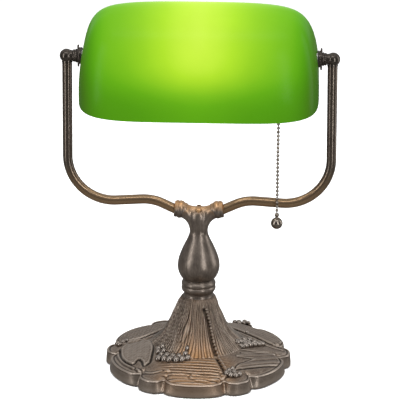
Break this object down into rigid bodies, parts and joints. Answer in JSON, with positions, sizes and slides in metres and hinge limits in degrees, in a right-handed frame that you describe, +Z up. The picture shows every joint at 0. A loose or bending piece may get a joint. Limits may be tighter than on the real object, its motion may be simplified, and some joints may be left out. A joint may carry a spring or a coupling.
{
  "type": "banker desk lamp",
  "caption": "Banker's desk lamp with a tilting green glass trough shade on a forked bronze stand, a lobed cast base and a pull-chain switch.",
  "frame": {"origin": "under the middle of the base, on the surface the lamp stands on", "axes": "+Z up; -Y is the front, with the shade's lower rim and the pull chain; +X is the side with the socket; the shade tilts about X"},
  "size_m": [0.2656, 0.182, 0.3645],
  "materials": {
    "bronze_casting": "satin",
    "bronze_tube": "satin",
    "felt": "matte",
    "plain_steel": "satin",
    "ballast_iron": "matte",
    "black_rubber": "matte",
    "nylon": "satin",
    "phenolic": "satin",
    "liner_card": "matte",
    "socket_brass": "satin",
    "green_glass": "gloss",
    "bulb_white": "satin",
    "bulb_metal": "satin",
    "chain_nickel": "polished",
    "lead_sleeve": "satin"
  },
  "bodies": {
    "stand": {"arm_left": "bronze_tube", "arm_right": "bronze_tube", "arm_set_screws": "plain_steel", "ball_end_left": "bronze_tube", "ball_end_right": "bronze_tube", "ballast_ring": "ballast_iron", "base_casting": "bronze_casting", "base_screws": "plain_steel", "bottom_plate": "plain_steel", "bulb_cap": "bulb_metal", "bulb_contact": "bulb_metal", "bulb_filament": "plain_steel", "bulb_glass": "bulb_white", "bulb_stem": "bulb_white", "centre_contact": "socket_brass", "chain_bell": "socket_brass", "column_collar": "bronze_casting", "cord_grommet": "black_rubber", "felt_pad": "felt", "inner_lock_nut_left": "plain_steel", "inner_lock_nut_right": "plain_steel", "pivot_nipple_left": "plain_steel", "pivot_nipple_right": "plain_steel", "return_spring": "plain_steel", "rod_nut": "plain_steel", "rod_washer": "plain_steel", "screw_shell": "socket_brass", "socket_cap": "socket_brass", "socket_lead": "lead_sleeve", "socket_liner": "liner_card", "socket_shell": "socket_brass", "spacer_ring_left": "bronze_tube", "spacer_ring_right": "bronze_tube", "switch_body": "phenolic", "terminal_block": "nylon", "terminal_screws": "plain_steel", "threaded_rod": "plain_steel", "yoke_column": "bronze_casting"},
    "shade": {"shade_glass": "green_glass", "shade_bush_left": "nylon", "clamp_washer_left": "bronze_tube", "outer_rubber_washer_left": "black_rubber", "inner_rubber_washer_left": "black_rubber", "inner_washer_left": "plain_steel", "shade_bush_right": "nylon", "clamp_washer_right": "bronze_tube", "outer_rubber_washer_right": "black_rubber", "inner_rubber_washer_right": "black_rubber", "inner_washer_right": "plain_steel"},
    "lock_nut_left": {"tilt_lock_nut_left": "bronze_tube"},
    "lock_nut_right": {"tilt_lock_nut_right": "bronze_tube"},
    "pull_switch": {"pull_link": "socket_brass"},
    "switch_rotor": {"switch_rotor": "nylon"},
    "chain_swivel": {"chain_coupling": "socket_brass"},
    "chain": {"pull_chain": "chain_nickel", "chain_knob": "chain_nickel"}
  },
  "joints": [
    {"name": "shade_tilt", "type": "hinge", "parent": "stand", "child": "shade", "pos_m": [0, 0, 0.3117], "axis": [1, 0, 0], "range_deg": [-60, 20]},
    {"name": "lock_nut_right_turn", "type": "hinge", "parent": "stand", "child": "lock_nut_right", "pos_m": [0.1147, 0, 0.3117], "axis": [1, 0, 0], "range_deg": [0, 90]},
    {"name": "lock_nut_left_turn", "type": "hinge", "parent": "stand", "child": "lock_nut_left", "pos_m": [-0.1147, 0, 0.3117], "axis": [-1, 0, 0], "range_deg": [0, 90]},
    {"name": "chain_pull", "type": "slide", "parent": "stand", "child": "pull_switch", "axis": [0, 0, -1], "range_m": [0, 0.005], "stiffness_N_per_m": 300, "springref_m": -0.002, "deforming": ["return_spring"]},
    {"name": "switch_turn", "type": "hinge", "parent": "stand", "child": "switch_rotor", "pos_m": [0.076, -0.0025, 0.309], "axis": [1, 0, 0], "range_deg": [0, 45]},
    {"name": "chain_swing", "type": "hinge", "parent": "pull_switch", "child": "chain_swivel", "pos_m": [0.076, -0.0105, 0.2858], "axis": [1, 0, 0], "range_deg": [-15, 1.5]},
    {"name": "chain_sway", "type": "hinge", "parent": "chain_swivel", "child": "chain", "pos_m": [0.076, -0.0105, 0.2818], "axis": [0, 1, 0], "range_deg": [-15, 15]}
  ],
  "couplings": [
    {"joint": "switch_turn", "follows": "chain_pull", "rad_per_m": 150}
  ]
}
